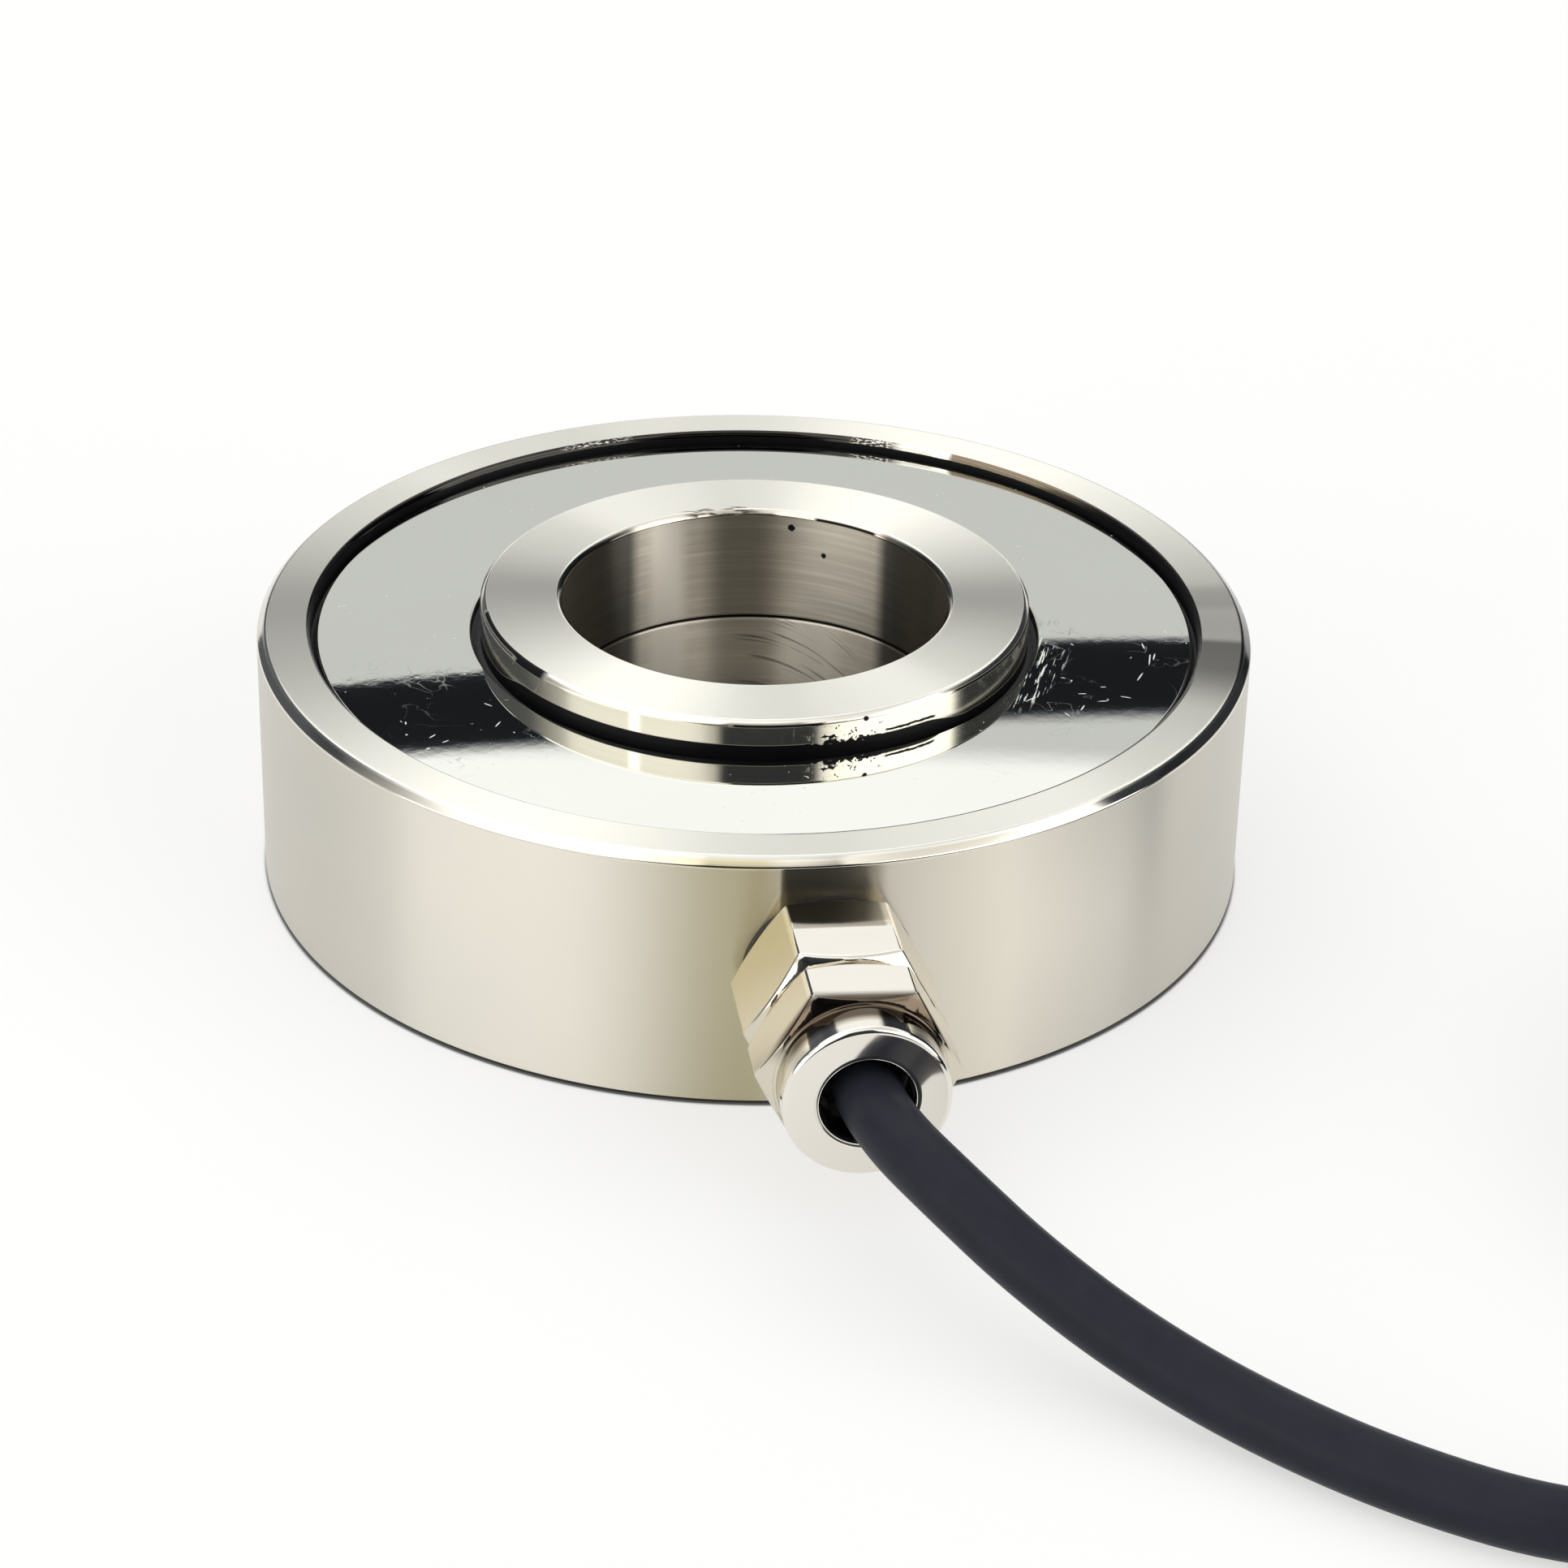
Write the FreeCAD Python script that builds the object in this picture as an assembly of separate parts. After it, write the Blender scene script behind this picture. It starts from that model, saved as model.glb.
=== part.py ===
"""Ring load cell: a through-hole force sensor with a recessed cover, a cable gland and its cable.

Millimetres. The origin is on the bore's axis in the base face, +Z is up, and the gland points to -Y.
"""

import FreeCAD
import Part
import math
import os
from FreeCAD import Vector

UP = Vector(0, 0, 1)

# Housing ring
ring_diameter = 85.0
rim_height = 22.5
rim_width = 4.5
rim_outer_chamfer = 0.7
rim_inner_chamfer = 0.25
base_chamfer = 0.4
ledge_width = 2.5
flange_thickness = 5.0
fit_clearance = 0.05

# Sensing element and load ring
bore_diameter = 33.0
bore_chamfer = 0.4
overall_height = 24.5
boss_diameter = 47.0
boss_chamfer = 0.4
joint_height = 14.0
joint_chamfer = 0.25
column_wall = 4.5
column_fillet = 1.2
skirt_depth = 2.0
foot_diameter = 60.0
lip_width = 3.0
lip_thickness = 2.5

# Cover plate and its two black seals
cover_recess = 1.1
cover_thickness = 2.0
cover_chamfer = 0.15
cover_rim_gap = 0.5
cover_boss_gap = 0.8
seal_recess = 0.8

# Strain gauges and bridge board
gauge_pairs = 4
gauge_length = 4.2
gauge_width = 2.8
gauge_thickness = 0.2
gauge_pitch = 6.0
board_width = 6.0
board_margin = 0.5
board_thickness = 1.2
board_opening_angle = 50.0
resistor_size = (3.2, 1.6, 0.7)
resistor_angles = (-150.0, -120.0, -45.0, -20.0)
wire_diameter = 0.5
wire_reach = 1.2

# Cable gland, measured along its axis from the outer wall
gland_height = 12.2
gland_thread = 12.0
gland_flats = 14.0
hex_face = 13.2
gasket_gap = 0.3
gasket_width = 0.9
body_hex_length = 9.1
body_roll = -1.5
body_thread = 11.0
body_thread_length = 4.2
body_socket = 9.2
body_socket_depth = 6.2
nut_gap = 0.5
nut_hex_length = 5.6
nut_roll = -2.5
nut_collar = 13.0
nut_collar_length = 3.4
nut_shoulder = 0.5
nut_mouth = 7.2
nut_mouth_chamfer = 0.3
nut_cone_length = 1.4
hex_chamfer_angle = 30.0
claw_wall = 0.8
claw_slots = 6
claw_slot_width = 0.8
claw_band = 2.0
claw_gap = 0.2
port_overrun = 1.0

# Cable: jacketed, four cores and a drain wire
cable_diameter = 5.2
cable_bore_clearance = 0.3
cable_inner_end = 33.0
core_diameter = 1.2
core_pitch = 1.6
core_bend = 6.0
arc_share = 0.45

# The cable's way from the gland along the floor to the coil
cable_route = [
    (0.0, -53.5, 12.2),
    (0.0, -59.0, 12.2),
    (1.7, -64.3, 11.3),
    (5.4, -69.2, 9.0),
    (9.9, -74.9, 6.1),
    (15.8, -81.8, 3.8),
    (22.9, -89.8, 2.75),
    (31.6, -98.6, 2.65),
    (41.8, -105.2, 2.65),
    (52.2, -107.2, 2.65),
    (63.4, -106.9, 2.9),
]

# Coil of the length past the picture's edge
coil_centre = (104.0, -65.0)
coil_turn_radius = 28.6
coil_half_width = 8.6
coil_layers = 3
coil_wrap = 0.1
coil_corner = 2.0
coil_entry_angle = -84.0
coil_entry_length = 21.0
coil_approach = 11.5
tail_start_angle = -40.0
tail_sweep = 70.0
tail_sink = 0.3
tie_thickness = 0.8
tie_width = 4.0
tie_angles = (-60.0, 115.0)

# Bare leads at the cable's far end
lead_length = 30.0
lead_spread = 2.6
tip_diameter = 0.7
tip_length = 6.0
drain_diameter = 0.9

# Worked-out sizes
ring_radius = ring_diameter / 2
bore_radius = bore_diameter / 2
boss_radius = boss_diameter / 2
recess_radius = ring_radius - rim_width
cover_top = rim_height - cover_recess
ledge_height = cover_top - cover_thickness
wall_inside = recess_radius - ledge_width
cover_outside = recess_radius - cover_rim_gap
cover_inside = boss_radius + cover_boss_gap
seal_top = cover_top - seal_recess
column_radius = bore_radius + column_wall
foot_radius = foot_diameter / 2
lip_radius = foot_radius + lip_width
board_outside = foot_radius - board_margin
board_inside = board_outside - board_width
board_top = flange_thickness + board_thickness
gauge_middle = (flange_thickness + column_fillet + joint_height - skirt_depth) / 2
cable_radius = cable_diameter / 2
cable_joint = -cable_route[0][1]
thread_radius = gland_thread / 2
hex_corner = gland_flats / math.sqrt(3)
body_start = ring_radius + gasket_gap
body_end = body_start + body_hex_length
socket_floor = body_end + body_thread_length - body_socket_depth
nut_start = body_end + nut_gap
nut_hex_end = nut_start + nut_hex_length
nut_face = nut_hex_end + nut_collar_length
cone_start = body_end + body_thread_length + nut_gap
coil_inside = coil_turn_radius - coil_half_width - cable_radius - coil_wrap
coil_outside = coil_turn_radius + coil_half_width + cable_radius + coil_wrap
coil_bottom = tie_thickness
coil_top = coil_bottom + coil_layers * cable_diameter + 2 * coil_wrap
coil_axis = Vector(coil_centre[0], coil_centre[1], 0)
first_layer = coil_bottom + coil_wrap + cable_radius
tail_height = coil_top + cable_radius - tail_sink
tail_end_angle = tail_start_angle + tail_sweep


def turned(outline, angle=360.0, start=0.0):
    """Revolve a closed outline of (radius, height) points round the bore's axis."""
    points = [Vector(radius, 0, height) for radius, height in outline]
    face = Part.Face(Part.makePolygon(points + points[:1]))
    solid = face.revolve(Vector(), UP, angle)
    solid.rotate(Vector(), UP, start)
    return solid


def band(inside, outside, bottom, top):
    """Plain ring between two radii and two heights."""
    return turned([(inside, bottom), (outside, bottom), (outside, top), (inside, top)])


def patch(inside, outside, bottom, top, middle_angle, width):
    """Piece of a ring that is width long round its inner face, centred on an angle."""
    angle = math.degrees(width / inside)
    outline = [(inside, bottom), (outside, bottom), (outside, top), (inside, top)]
    return turned(outline, angle, middle_angle - angle / 2)


def on_axis(shape):
    """Lay a gland piece, made along +Z from the bore's axis, on the gland's axis towards -Y."""
    shape.rotate(Vector(), Vector(1, 0, 0), 90)
    shape.translate(Vector(0, 0, gland_height))
    return shape


def hexagon(start, end, roll):
    """Hex prism with both rims chamfered like a wrench-faced turned part."""
    corners = [Vector(hex_corner, 0, start)]
    for step in range(1, 7):
        turn = math.radians(60 * step)
        corners.append(Vector(hex_corner * math.cos(turn), hex_corner * math.sin(turn), start))
    prism = Part.Face(Part.makePolygon(corners)).extrude(Vector(0, 0, end - start))
    face_radius = hex_face / 2
    rise = (hex_corner - face_radius) * math.tan(math.radians(hex_chamfer_angle))
    envelope = turned([
        (0, start), (face_radius, start), (hex_corner, start + rise),
        (hex_corner, end - rise), (face_radius, end), (0, end),
    ])
    prism = prism.common(envelope).Solids[0]
    prism.rotate(Vector(), UP, roll)
    return prism


def bent_path(points):
    """Straight runs joined by arcs, each as large as its two runs allow, with the arcs' radii."""
    edges = []
    radii = []
    here = points[0]
    for before, corner, after in zip(points, points[1:], points[2:]):
        back = before - corner
        ahead = after - corner
        reach = arc_share * min(back.Length, ahead.Length)
        half_turn = (math.pi - back.getAngle(ahead)) / 2
        radius = reach / math.tan(half_turn)
        back.normalize()
        ahead.normalize()
        inward = (back + ahead).normalize()
        arc_start = corner + back * reach
        arc_end = corner + ahead * reach
        arc_middle = corner + inward * (radius / math.cos(half_turn) - radius)
        edges.append(Part.LineSegment(here, arc_start).toShape())
        edges.append(Part.Arc(arc_start, arc_middle, arc_end).toShape())
        radii.append(radius)
        here = arc_end
    edges.append(Part.LineSegment(here, points[-1]).toShape())
    return Part.Wire(edges), radii


def tube(points, diameter):
    """Round solid along a bent path."""
    path, radii = bent_path(points)
    rim = Part.Wire(Part.makeCircle(diameter / 2, points[0], points[1] - points[0]))
    return path.makePipeShell([rim], True, False), path, radii


def housing_ring():
    """Outer ring: flange below, ledge and rim above, and the port for the gland."""
    ring = turned([
        (lip_radius + fit_clearance, 0),
        (ring_radius - base_chamfer, 0),
        (ring_radius, base_chamfer),
        (ring_radius, rim_height - rim_outer_chamfer),
        (ring_radius - rim_outer_chamfer, rim_height),
        (recess_radius + rim_inner_chamfer, rim_height),
        (recess_radius, rim_height - rim_inner_chamfer),
        (recess_radius, ledge_height),
        (wall_inside, ledge_height),
        (wall_inside, flange_thickness),
        (foot_radius + fit_clearance, flange_thickness),
        (foot_radius + fit_clearance, lip_thickness),
        (lip_radius + fit_clearance, lip_thickness),
    ])
    port = Part.makeCylinder(thread_radius + fit_clearance, ring_diameter)
    return ring.cut(on_axis(port))


def sensing_element():
    """Foot, lip under the housing's flange, and the thin column that carries the gauges."""
    element = turned([
        (bore_radius + bore_chamfer, 0),
        (lip_radius, 0),
        (lip_radius, lip_thickness),
        (foot_radius, lip_thickness),
        (foot_radius, flange_thickness),
        (column_radius, flange_thickness),
        (column_radius, joint_height),
        (bore_radius + joint_chamfer, joint_height),
        (bore_radius, joint_height - joint_chamfer),
        (bore_radius, bore_chamfer),
    ])
    corner = [
        edge for edge in element.Edges
        if isinstance(edge.Curve, Part.Circle)
        and abs(edge.Curve.Radius - column_radius) < fit_clearance
        and abs(edge.Curve.Center.z - flange_thickness) < fit_clearance
    ]
    return element.makeFillet(column_fillet, corner)


def load_ring():
    """Raised ring that takes the load, with a skirt that centres it on the column."""
    return turned([
        (bore_radius + joint_chamfer, joint_height),
        (column_radius + fit_clearance, joint_height),
        (column_radius + fit_clearance, joint_height - skirt_depth),
        (boss_radius, joint_height - skirt_depth),
        (boss_radius, overall_height - boss_chamfer),
        (boss_radius - boss_chamfer, overall_height),
        (bore_radius + bore_chamfer, overall_height),
        (bore_radius, overall_height - bore_chamfer),
        (bore_radius, joint_height + joint_chamfer),
    ])


def cover_plate():
    """Polished cover that lies on the housing's ledge."""
    return turned([
        (cover_inside, ledge_height),
        (cover_outside, ledge_height),
        (cover_outside, cover_top - cover_chamfer),
        (cover_outside - cover_chamfer, cover_top),
        (cover_inside + cover_chamfer, cover_top),
        (cover_inside, cover_top - cover_chamfer),
    ])


def gauge_nodes():
    """Axial and hoop gauges in pairs round the column, each a node of its own."""
    gauges = {}
    outside = column_radius + gauge_thickness
    half_pitch = math.degrees(gauge_pitch / 2 / column_radius)
    for number in range(gauge_pairs):
        angle = 360.0 * (number + 0.5) / gauge_pairs
        for kind, side, tall, wide in (
            ("axial", -half_pitch, gauge_length, gauge_width),
            ("hoop", half_pitch, gauge_width, gauge_length),
        ):
            gauges[f"{kind}_gauge_{number + 1}"] = patch(
                column_radius, outside, gauge_middle - tall / 2, gauge_middle + tall / 2,
                angle + side, wide)
    return gauges


def bridge_board():
    """Annular circuit board on the foot, open at the back so that it slips round the column."""
    outline = [
        (board_inside, flange_thickness), (board_outside, flange_thickness),
        (board_outside, board_top), (board_inside, board_top),
    ]
    return turned(outline, 360.0 - board_opening_angle, 90.0 + board_opening_angle / 2)


def trim_resistors():
    """Chip resistors for balance and temperature, on the board."""
    chips = []
    length, width, height = resistor_size
    middle = (board_inside + board_outside) / 2
    for angle in resistor_angles:
        chip = Part.makeBox(width, length, height, Vector(middle - width / 2, -length / 2, board_top))
        chip.rotate(Vector(), UP, angle)
        chips.append(chip)
    return Part.makeCompound(chips)


def gauge_wires():
    """One fine wire from each gauge down to the board."""
    wires = []
    start = column_radius + gauge_thickness
    level = board_top + wire_reach
    half_pitch = math.degrees(gauge_pitch / 2 / column_radius)
    for number in range(gauge_pairs):
        for side in (-half_pitch, half_pitch):
            points = [
                Vector(start, 0, level),
                Vector(board_inside + wire_reach, 0, level),
                Vector(board_inside + wire_reach, 0, board_top),
            ]
            wire = tube(points, wire_diameter)[0]
            wire.rotate(Vector(), UP, 360.0 * (number + 0.5) / gauge_pairs + side)
            wires.append(wire)
    return Part.makeCompound(wires)


def core_places():
    """Where the four cores stand in the cable's section."""
    half = core_pitch / 2
    return [(-half, half), (half, half), (-half, -half), (half, -half)]


def inner_leads():
    """Four cores from the cable's inner end, bent down to the board."""
    leads = []
    for sideways, upward in core_places():
        height = gland_height + upward
        landing = cable_inner_end - core_bend + upward
        points = [
            Vector(sideways, -cable_inner_end, height),
            Vector(sideways, -landing, height),
            Vector(sideways, -landing, board_top),
        ]
        leads.append(tube(points, core_diameter)[0])
    return Part.makeCompound(leads)


def gland_gasket():
    """Gasket round the thread, shaped to the round wall on one side and the hex on the other."""
    inside = thread_radius + fit_clearance
    ring = on_axis(band(inside, thread_radius + gasket_width, ring_radius / 2, body_start))
    return ring.cut(Part.makeCylinder(ring_radius, rim_height))


def gland_body():
    """Threaded stem in the housing, hex, and the front thread with its socket."""
    stem = band(0, thread_radius, wall_inside - port_overrun, body_start)
    front = band(0, body_thread / 2, body_end, body_end + body_thread_length)
    body = stem.fuse(hexagon(body_start, body_end, body_roll)).fuse(front)
    passage = Part.makeCylinder(cable_radius + cable_bore_clearance, nut_face)
    socket = band(0, body_socket / 2, socket_floor, nut_face)
    return on_axis(body.cut(passage).cut(socket).removeSplitter())


def claw_outline():
    """Section of the clamping cage, with a nose that leans on the cone in the nut."""
    outside = body_socket / 2 - fit_clearance
    nose = cone_start + nut_cone_length / 2 - claw_gap
    slope = nut_cone_length / (body_thread - nut_mouth) * 2
    shoulder = nose - claw_wall * slope
    inside = outside - claw_wall
    return [
        (inside, socket_floor), (outside, socket_floor), (outside, shoulder),
        (inside + fit_clearance, nose), (inside, nose),
    ]


def gland_claw():
    """Slotted clamping cage in the socket of the body."""
    cage = turned(claw_outline())
    for step in range(claw_slots):
        slot = Part.makeBox(
            gland_thread, claw_slot_width, nut_face,
            Vector(0, -claw_slot_width / 2, socket_floor + claw_band))
        slot.rotate(Vector(), UP, 360.0 * step / claw_slots)
        cage = cage.cut(slot)
    return on_axis(cage)


def gland_seal():
    """Rubber sleeve between the cable and the cage."""
    outside = body_socket / 2 - 2 * fit_clearance - claw_wall
    front = body_end + body_thread_length - claw_gap
    return on_axis(band(cable_radius, outside, socket_floor, front))


def gland_nut():
    """Hex nut with a round-shouldered collar, a clamping cone inside and the cable's mouth."""
    collar = nut_collar / 2
    thread = body_thread / 2 + fit_clearance
    mouth = nut_mouth / 2
    collar_solid = band(0, collar, nut_hex_end, nut_face)
    front_rim = [
        edge for edge in collar_solid.Edges
        if isinstance(edge.Curve, Part.Circle) and abs(edge.Curve.Center.z - nut_face) < fit_clearance
    ]
    nut = hexagon(nut_start, nut_hex_end, nut_roll).fuse(collar_solid.makeFillet(nut_shoulder, front_rim))
    inside = turned([
        (0, nut_start), (thread, nut_start), (thread, cone_start),
        (mouth, cone_start + nut_cone_length), (mouth, nut_face - nut_mouth_chamfer),
        (mouth + nut_mouth_chamfer, nut_face), (0, nut_face),
    ])
    return on_axis(nut.cut(inside).removeSplitter())


def cable_inner():
    """The cable's stretch through the gland into the housing."""
    return on_axis(band(0, cable_radius, cable_inner_end, cable_joint))


def on_coil(radius, angle, height):
    """Point round the coil's axis."""
    turn = math.radians(angle)
    return coil_axis + Vector(radius * math.cos(turn), radius * math.sin(turn), height)


def coil_entry():
    """Point on the outer turn where the cable joins the coil, and the direction it comes in by."""
    place = on_coil(coil_turn_radius + coil_half_width, coil_entry_angle, first_layer)
    ahead = on_coil(1, coil_entry_angle + 90, 0) - coil_axis
    return place, ahead


def cable_run():
    """Free stretch of the cable, from the gland's seal to the coil's entry."""
    place, ahead = coil_entry()
    points = [Vector(*point) for point in cable_route]
    points.append(place - ahead * (coil_entry_length + coil_approach))
    points.append(place - ahead * coil_entry_length)
    run, path, radii = tube(points, cable_diameter)
    print("cable radii", [round(radius, 1) for radius in radii])
    print("cable run", round(path.Length, 1), "volume share",
          round(run.Volume / (math.pi * cable_radius ** 2 * path.Length), 4))
    return run


def coil_section(extra=0.0):
    """Face of the coil's rounded section, grown all round by an extra thickness."""
    left = coil_axis.x + coil_inside + coil_corner
    right = coil_axis.x + coil_outside - coil_corner
    bottom = coil_bottom + coil_corner
    top = coil_top - coil_corner
    corners = [(left, bottom), (right, bottom), (right, top), (left, top), (left, bottom)]
    core = Part.Face(Part.makePolygon([Vector(x, coil_axis.y, z) for x, z in corners]))
    return core.makeOffset2D(coil_corner + extra)


def cable_coil():
    """Outer shape of the coil, its straight entry and the cable's end laid on top."""
    ring = coil_section().revolve(coil_axis, UP, 360)
    place, ahead = coil_entry()
    entry = Part.makeCylinder(cable_radius, coil_entry_length, place - ahead * coil_entry_length, ahead)
    rim = Part.makeCircle(cable_radius, coil_axis + Vector(coil_turn_radius, 0, tail_height), Vector(0, 1, 0))
    tail = Part.Face(Part.Wire(rim)).revolve(coil_axis, UP, tail_sweep)
    tail.rotate(coil_axis, UP, tail_start_angle)
    return ring.fuse(entry).fuse(tail)


def coil_tie(angle):
    """Strap round the coil's section."""
    strap = coil_section(tie_thickness).cut(coil_section())
    width = math.degrees(tie_width / coil_turn_radius)
    solid = strap.Faces[0].revolve(coil_axis, UP, width)
    solid.rotate(coil_axis, UP, angle - width / 2)
    return solid


def lead_points(sideways, upward, diameter, order):
    """Way of one lead: straight out of the cable, apart, then down on to the coil and along it."""
    level = coil_top + diameter / 2
    start_height = tail_height + upward
    start = on_coil(coil_turn_radius + sideways, tail_end_angle, start_height)
    ahead = on_coil(1, tail_end_angle + 90, 0) - coil_axis
    end_radius = coil_turn_radius + lead_spread * order
    points = [start, start + ahead * lead_length / 8]
    for share, drop in ((0.27, 0.4), (0.47, 1.0), (0.73, 1.0), (1.0, 1.0)):
        angle = tail_end_angle + math.degrees(share * lead_length / coil_turn_radius)
        points.append(on_coil(end_radius, angle, start_height + drop * (level - start_height)))
    return points


def lead_nodes():
    """Four coloured cores, the bare drain wire and the cores' bare tips."""
    leads = {}
    tips = []
    colours = ("red", "black", "green", "white")
    for colour, place, order in zip(colours, core_places(), (-1.5, 1.5, -0.5, 0.5)):
        points = lead_points(place[0], place[1], core_diameter, order)
        leads[f"lead_{colour}"] = tube(points, core_diameter)[0]
        ahead = (points[-1] - points[-2]).normalize()
        tips.append(Part.makeCylinder(tip_diameter / 2, tip_length, points[-1], ahead))
    leads["shield_drain"] = tube(lead_points(0, 0, drain_diameter, 0), drain_diameter)[0]
    leads["lead_tips"] = Part.makeCompound(tips)
    return leads


def all_nodes():
    """Every piece by its name."""
    nodes = {
        "housing_ring": housing_ring(),
        "sensing_element": sensing_element(),
        "load_ring": load_ring(),
        "cover_plate": cover_plate(),
        "rim_seal": band(cover_outside, recess_radius, ledge_height, seal_top),
        "boss_seal": band(boss_radius, cover_inside, ledge_height, seal_top),
        "bridge_board": bridge_board(),
        "trim_resistors": trim_resistors(),
        "gauge_wires": gauge_wires(),
        "inner_leads": inner_leads(),
        "gland_gasket": gland_gasket(),
        "gland_body": gland_body(),
        "gland_claw": gland_claw(),
        "gland_seal": gland_seal(),
        "gland_nut": gland_nut(),
        "cable_inner": cable_inner(),
        "cable_run": cable_run(),
        "cable_coil": cable_coil(),
    }
    nodes.update(gauge_nodes())
    nodes.update(lead_nodes())
    for number, angle in enumerate(tie_angles, 1):
        nodes[f"coil_tie_{number}"] = coil_tie(angle)
    return nodes


os.makedirs("parts", exist_ok=True)
for name, shape in all_nodes().items():
    shape.exportStep(f"parts/{name}.step")
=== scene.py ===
import math

import bmesh
import bpy
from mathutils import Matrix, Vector


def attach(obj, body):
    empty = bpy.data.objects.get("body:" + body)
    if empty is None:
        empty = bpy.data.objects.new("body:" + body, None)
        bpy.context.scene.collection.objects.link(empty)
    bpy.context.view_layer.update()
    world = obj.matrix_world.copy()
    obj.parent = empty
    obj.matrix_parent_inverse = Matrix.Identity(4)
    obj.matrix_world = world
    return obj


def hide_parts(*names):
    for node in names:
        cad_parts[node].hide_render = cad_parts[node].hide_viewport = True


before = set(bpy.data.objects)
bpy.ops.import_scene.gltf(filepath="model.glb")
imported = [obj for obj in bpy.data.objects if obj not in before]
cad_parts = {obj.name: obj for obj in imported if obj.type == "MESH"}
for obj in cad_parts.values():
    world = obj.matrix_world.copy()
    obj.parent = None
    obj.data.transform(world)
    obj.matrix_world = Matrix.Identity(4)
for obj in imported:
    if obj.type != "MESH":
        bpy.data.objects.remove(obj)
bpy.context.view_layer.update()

# The origin is on the bore's axis in the base face, +z is up and the gland points to -y.
# Lengths are in millimetres and angles in degrees, unless a name or a comment says otherwise.
MM = 0.001
DEGREES = 180 / math.pi

# Camera, solved from the circles in the photograph, and the floor
CAMERA_PLACE = (-50.5, -333.93, 191.88)
CAMERA_TURN = (61.15526, -1.13338, -8.45825)
CAMERA_LENS = 101.0126
CAMERA_SENSOR = 36.0
FLOOR_SIZE_IN_METRES = 12.0

# Turned pieces, as radii and heights
RING_RADIUS = 42.5
RIM_HEIGHT = 22.5
RIM_CHAMFER = 0.7
RECESS_RADIUS = 38.0
RECESS_CHAMFER = 0.25
CAVITY_RADIUS = 35.5
LEDGE_HEIGHT = 19.4
FLANGE_HEIGHT = 5.0
FOOT_RADIUS = 30.0
LIP_RADIUS = 33.0
LIP_HEIGHT = 2.5
BORE_RADIUS = 16.5
BOSS_RADIUS = 23.5
LOAD_HEIGHT = 24.5
COLUMN_RADIUS = 21.0
COLUMN_FILLET = 1.2
SKIRT_HEIGHT = 12.0
JOINT_HEIGHT = 14.0
JOINT_CHAMFER = 0.25
CHAMFER = 0.4
FIT = 0.05
COVER_INSIDE = 24.3
COVER_OUTSIDE = 37.5
COVER_TOP = 21.4
COVER_CHAMFER = 0.15
SEAL_TOP = 20.6
EDGE_BREAK = 0.12
THIN_EDGE_BREAK = 0.03
SPIN_STEPS = 240

# Cable gland, as radii and distances from the bore's axis
GLAND_HEIGHT = 12.2
HEX_FLATS = 14.0
HEX_FACE_RADIUS = 6.6
HEX_CORNER_RADIUS = 8.2
HEX_CHAMFER = 0.924
HEX_ROUNDING = 0.25
HEX_STEPS = 96
HEX_BAR_LENGTH = 40
HEX_BAR_MIDDLE = 48
PASSAGE_RADIUS = 2.9
STEM_RADIUS = 6.0
STEM_START = 34.5
BODY_START = 42.8
BODY_END = 51.9
BODY_ROLL = -1.5
THREAD_RADIUS = 5.5
THREAD_END = 56.1
SOCKET_RADIUS = 4.6
SOCKET_FLOOR = 49.9
NUT_START = 52.4
NUT_CONE = 56.6
NUT_END = 58.0
NUT_FACE = 61.4
NUT_ROLL = -2.5
COLLAR_RADIUS = 6.5
COLLAR_FILLET = 0.5
MOUTH_RADIUS = 3.6
MOUTH_CHAMFER = 0.3

# Cable: its diameter, its way to the coil and the coil
CABLE_DIAMETER = 5.2
CABLE_ROUTE = [
    (0.0, -53.5, 12.2),
    (0.0, -58.4, 12.0),
    (1.2, -64.6, 11.5),
    (4.7, -71.4, 10.4),
    (9.3, -77.3, 7.8),
    (15.4, -83.4, 5.0),
    (22.8, -90.2, 3.0),
    (31.6, -98.6, 2.65),
    (41.8, -105.5, 2.65),
    (52.2, -107.2, 2.65),
    (63.4, -106.9, 2.9),
    (75.57, -105.39, 3.5),
    (87.0, -104.19, 3.5),
]
COIL_CENTRE = (104.0, -65.0)
COIL_OUTER_TURN = 37.2
COIL_INNER_TURN = 20.0
COIL_LAYERS = (3.5, 8.7, 13.9)
COIL_ENTRY_ANGLE = -84.0
COIL_POINTS_PER_TURN = 18
LAYER_SWEEP = 1159.0
LAYER_CLIMB = 45.0
TAIL_RADIUS = 28.6
TAIL_HEIGHT = 19.1
TAIL_START_ANGLE = -40.0
TAIL_END_ANGLE = 30.0
TAIL_POINTS = 5

# Ties round the coil
TIE_WIDTH = 4.0
TIE_THICKNESS = 0.8
TIE_BEND = 2.2
TIE_ROUNDING = 0.18
TIE_LOCK_SIZE = (5.0, 5.6, 3.2)
TIE_LOCK_SHIFT = (0, 0, 1.4)
TIE_END_SIZE = (7.0, TIE_WIDTH, 1.0)
TIE_END_SHIFT = (5.0, 0, 1.7)


# Shader expressions

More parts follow.
